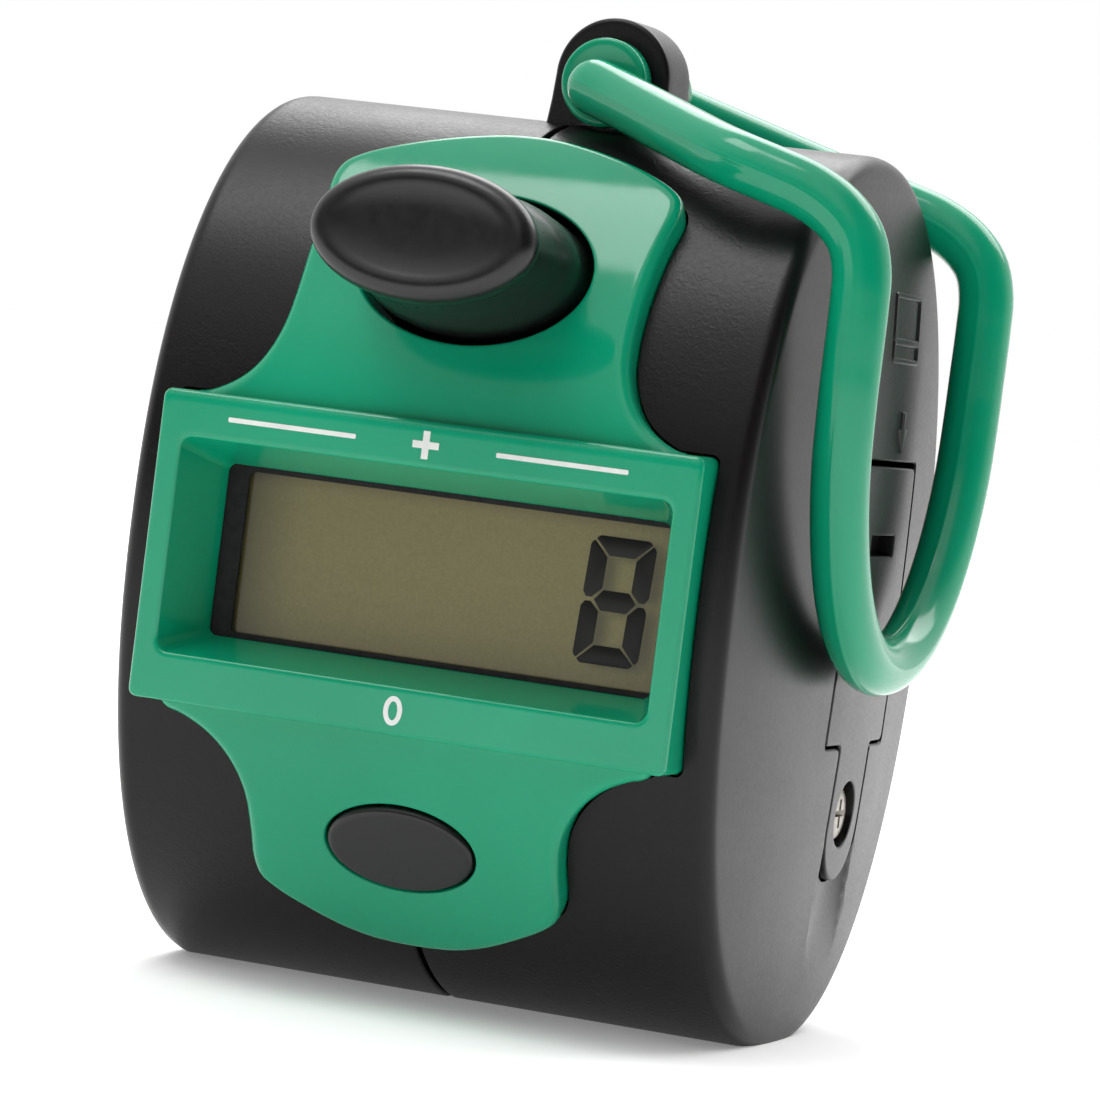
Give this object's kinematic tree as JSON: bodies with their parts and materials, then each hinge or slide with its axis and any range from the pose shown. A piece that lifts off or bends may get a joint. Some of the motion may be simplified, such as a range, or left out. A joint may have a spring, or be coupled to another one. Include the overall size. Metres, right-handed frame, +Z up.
{
  "type": "hand tally counter",
  "caption": "Electronic hand tally counter: black drum casing, green faceplate with a framed display, oval count and reset buttons, and a hinged finger ring.",
  "frame": {"origin": "middle of the flat underside, under the middle of the drum", "axes": "+X along the drum axis towards the battery end, -Y out of the face with the display, +Z up towards the ring lug"},
  "size_m": [0.0422, 0.0466, 0.0577],
  "materials": {
    "casing": "black moulded plastic with a faint satin texture",
    "face": "glossy green plastic, slightly translucent",
    "ring": "glossy green plastic, slightly translucent",
    "button": "smooth black plastic, satin sheen",
    "gasket": "matt black foam",
    "lcd": "olive grey reflective display behind a satin polariser",
    "elastomer": "grey silicone rubber",
    "board": "green solder mask",
    "epoxy": "black potting resin",
    "cell": "bright nickel-plated steel",
    "contact": "plated spring steel",
    "lead_red": "red wire insulation",
    "lead_black": "black wire insulation",
    "steel": "nickel-plated steel"
  },
  "bodies": {
    "casing": {"left_shell": "casing", "right_shell": "casing", "battery_door": "casing", "faceplate": "face", "display_gasket": "gasket", "lcd_panel": "lcd", "zebra_connector": "elastomer", "circuit_board": "board", "chip_cover": "epoxy", "count_contact_pad": "elastomer", "reset_contact_pad": "elastomer", "battery_cell": "cell", "battery_contact_positive": "contact", "battery_contact_negative": "contact", "battery_lead_positive": "lead_red", "battery_lead_negative": "lead_black", "battery_door_screw": "steel", "shell_screw_upper": "steel", "shell_screw_lower": "steel", "board_screw_upper_left": "steel", "board_screw_upper_right": "steel", "board_screw_lower_left": "steel", "board_screw_lower_right": "steel"},
    "ring": {"finger_ring": "ring"},
    "count_key": {"count_button": "button"},
    "reset_key": {"reset_button": "button"}
  },
  "joints": [
    {"name": "ring_hinge", "type": "hinge", "parent": "casing", "child": "ring", "pos_m": [0.0015, 0, 0.0538], "axis": [0, -1, 0], "range_deg": [0, 214]},
    {"name": "count_press", "type": "slide", "parent": "casing", "child": "count_key", "axis": [0, 0.9877, -0.1564], "range_m": [0, 0.0016], "stiffness_N_per_m": 500},
    {"name": "reset_press", "type": "slide", "parent": "casing", "child": "reset_key", "axis": [0, 0.8973, 0.4415], "range_m": [0, 0.0008], "stiffness_N_per_m": 600}
  ]
}
